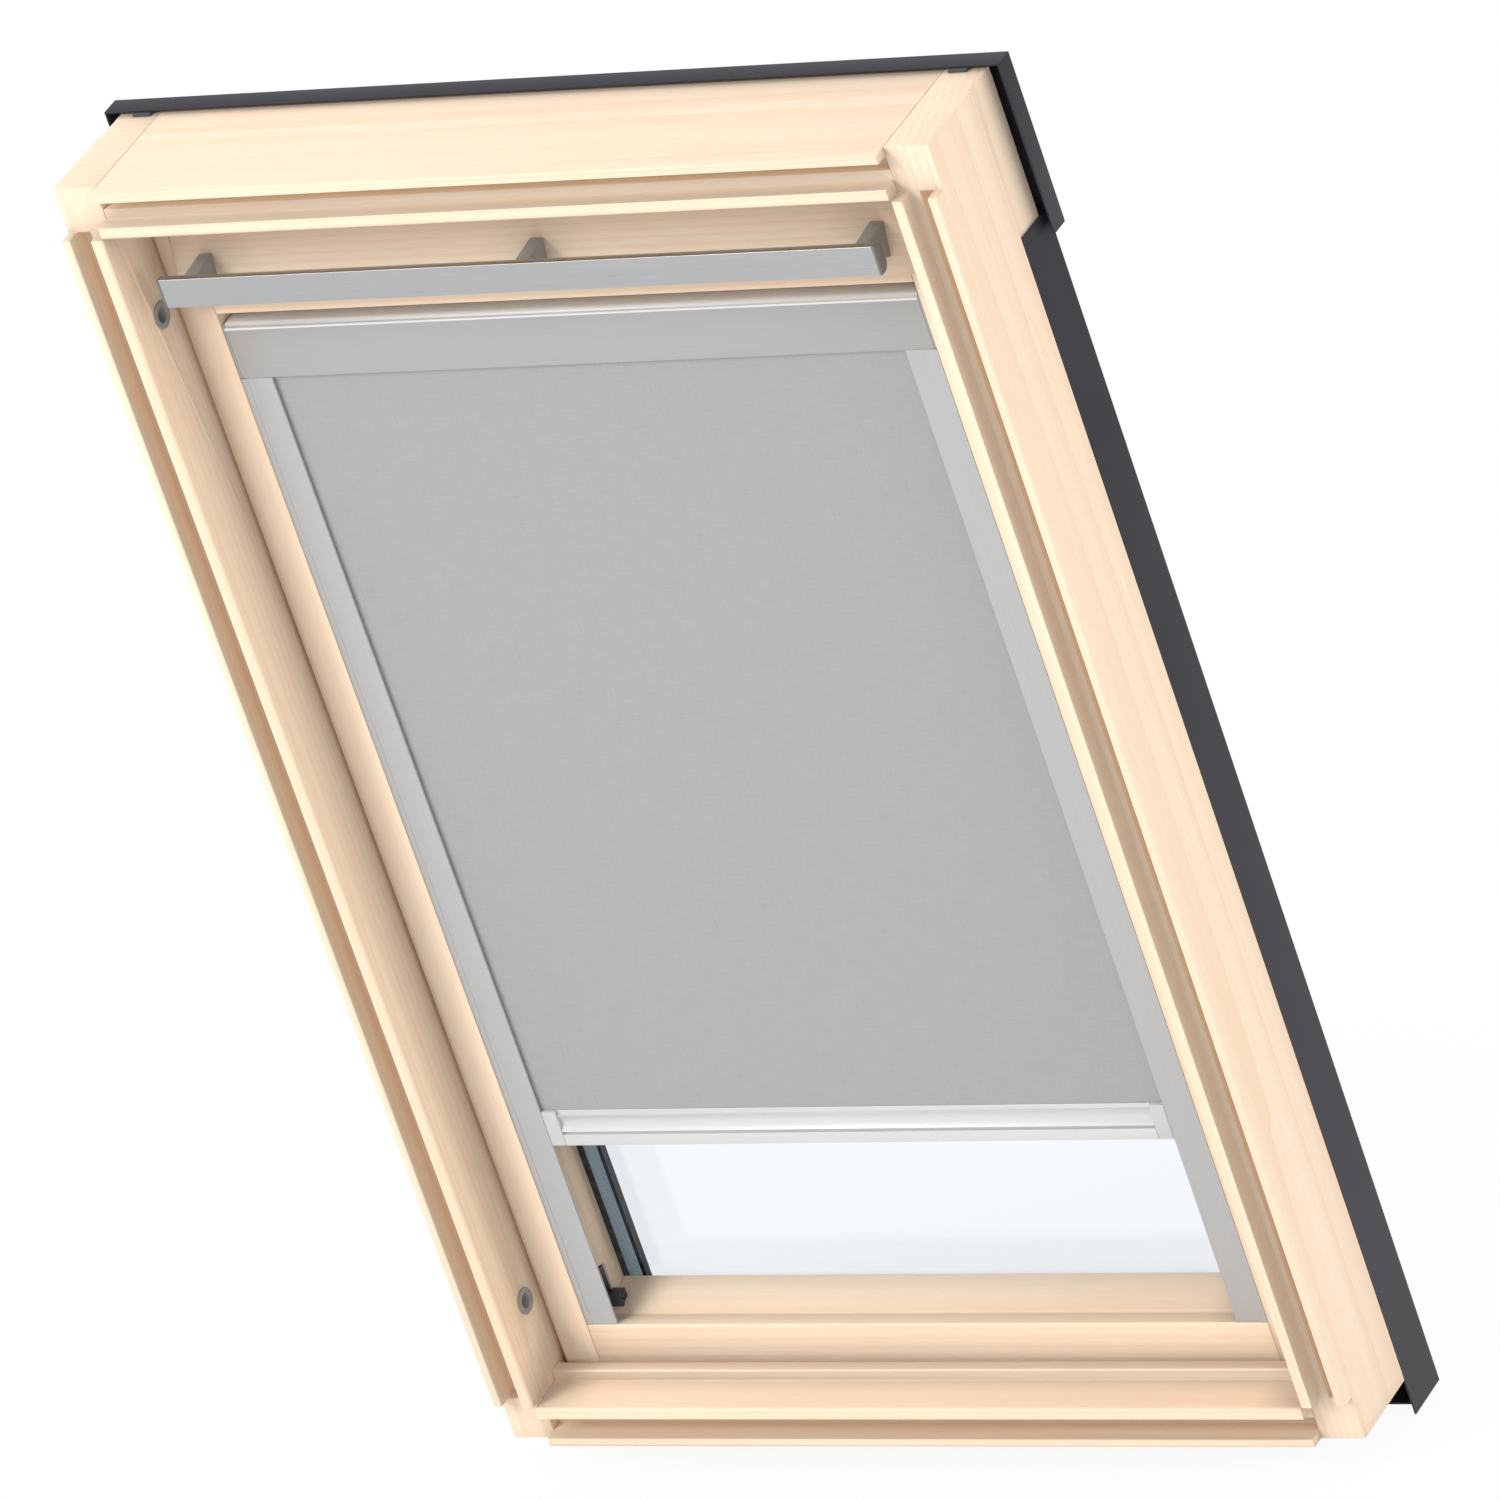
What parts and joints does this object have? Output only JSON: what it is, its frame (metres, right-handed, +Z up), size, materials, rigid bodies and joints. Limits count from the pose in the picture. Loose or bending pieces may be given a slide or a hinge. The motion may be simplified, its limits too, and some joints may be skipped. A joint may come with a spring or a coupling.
{
  "type": "roof window with blackout roller blind",
  "caption": "Centre-pivot roof window with a pine frame and sash, a ventilation flap worked by a bar, and a blackout roller blind in side channels.",
  "frame": {"origin": "middle of the frame's underside, in the plane of the four corner blocks on the room side", "axes": "+X to the right seen from the room, +Y out through the roof, +Z up the slope of the roof"},
  "size_m": [0.8, 0.1439, 1.215],
  "materials": {
    "pine": "clear lacquered laminated pine, satin",
    "cladding": "dark grey lacquered aluminium sheet, matt",
    "clip_plastic": "dark grey moulded plastic",
    "seal_rubber": "black rubber",
    "steel": "zinc plated steel",
    "grey_plastic": "mid grey moulded plastic",
    "glass": "clear float glass",
    "filter_foam": "grey filter fleece",
    "bar_aluminium": "brushed and anodised",
    "blind_aluminium": "fine satin anodised",
    "blackout_fabric": "light grey coated blackout weave"
  },
  "bodies": {
    "frame": {"frame_head": "pine", "frame_sill": "pine", "frame_jamb_left": "pine", "frame_jamb_right": "pine", "bolt_bush_lower": "grey_plastic", "bolt_bush_upper": "grey_plastic", "hinge_plate_frame_left": "steel", "hinge_plate_frame_right": "steel", "side_cover_left": "cladding", "side_cover_right": "cladding", "top_hood": "cladding", "sill_cover": "cladding", "hood_clip_left": "clip_plastic", "hood_clip_right": "clip_plastic", "sill_seal": "seal_rubber", "head_seal": "seal_rubber", "lock_striker": "steel"},
    "sash": {"sash_stile_left": "pine", "sash_stile_right": "pine", "sash_top_rail": "pine", "sash_bottom_rail": "pine", "pane_inner": "glass", "pane_outer": "glass", "glass_spacer": "grey_plastic", "glass_gasket": "seal_rubber", "sash_cover_left": "cladding", "sash_cover_right": "cladding", "sash_cover_bottom": "cladding", "sash_cover_top": "cladding", "hinge_plate_sash_left": "steel", "hinge_plate_sash_right": "steel", "lock_case": "steel", "vent_filter": "filter_foam", "bolt_housing": "clip_plastic", "headbox_shell": "blind_aluminium", "headbox_cover": "blind_aluminium", "headbox_end_left": "grey_plastic", "headbox_end_right": "grey_plastic", "roller_spring": "steel", "blind_channel_left": "blind_aluminium", "blind_channel_right": "blind_aluminium"},
    "vent_flap": {"vent_flap": "pine", "control_bar": "bar_aluminium", "bar_end_left": "clip_plastic", "bar_end_right": "clip_plastic", "bar_bracket_left": "grey_plastic", "bar_bracket_middle": "grey_plastic", "bar_bracket_right": "grey_plastic"},
    "bolt": {"barrel_bolt": "steel"},
    "blind_bar": {"blind_bottom_bar": "blind_aluminium", "blind_glide_left": "grey_plastic", "blind_glide_right": "grey_plastic", "blind_fabric": "blackout_fabric"},
    "blind_roller": {"roller_tube": "steel", "fabric_roll": "blackout_fabric"}
  },
  "joints": [
    {"name": "sash_pivot", "type": "hinge", "parent": "frame", "child": "sash", "pos_m": [0, 0.07, 0.589], "axis": [1, 0, 0], "range_deg": [0, 160]},
    {"name": "vent_flap_hinge", "type": "hinge", "parent": "sash", "child": "vent_flap", "pos_m": [0, 0.046, 1.0513], "axis": [1, 0, 0], "range_deg": [0, 35]},
    {"name": "bolt_slide", "type": "slide", "parent": "sash", "child": "bolt", "axis": [-1, 0, 0], "range_m": [0, 0.009]},
    {"name": "blind_slide", "type": "slide", "parent": "sash", "child": "blind_bar", "axis": [0, 0, 1], "range_m": [-0.17, 0.685], "deforming": ["blind_fabric"]},
    {"name": "roller_spin", "type": "hinge", "parent": "sash", "child": "blind_roller", "pos_m": [0, 0.057, 1.002], "axis": [1, 0, 0], "range_deg": [-3200, 900]}
  ],
  "couplings": [
    {"joint": "roller_spin", "follows": "blind_slide", "rad_per_m": -78.74}
  ]
}
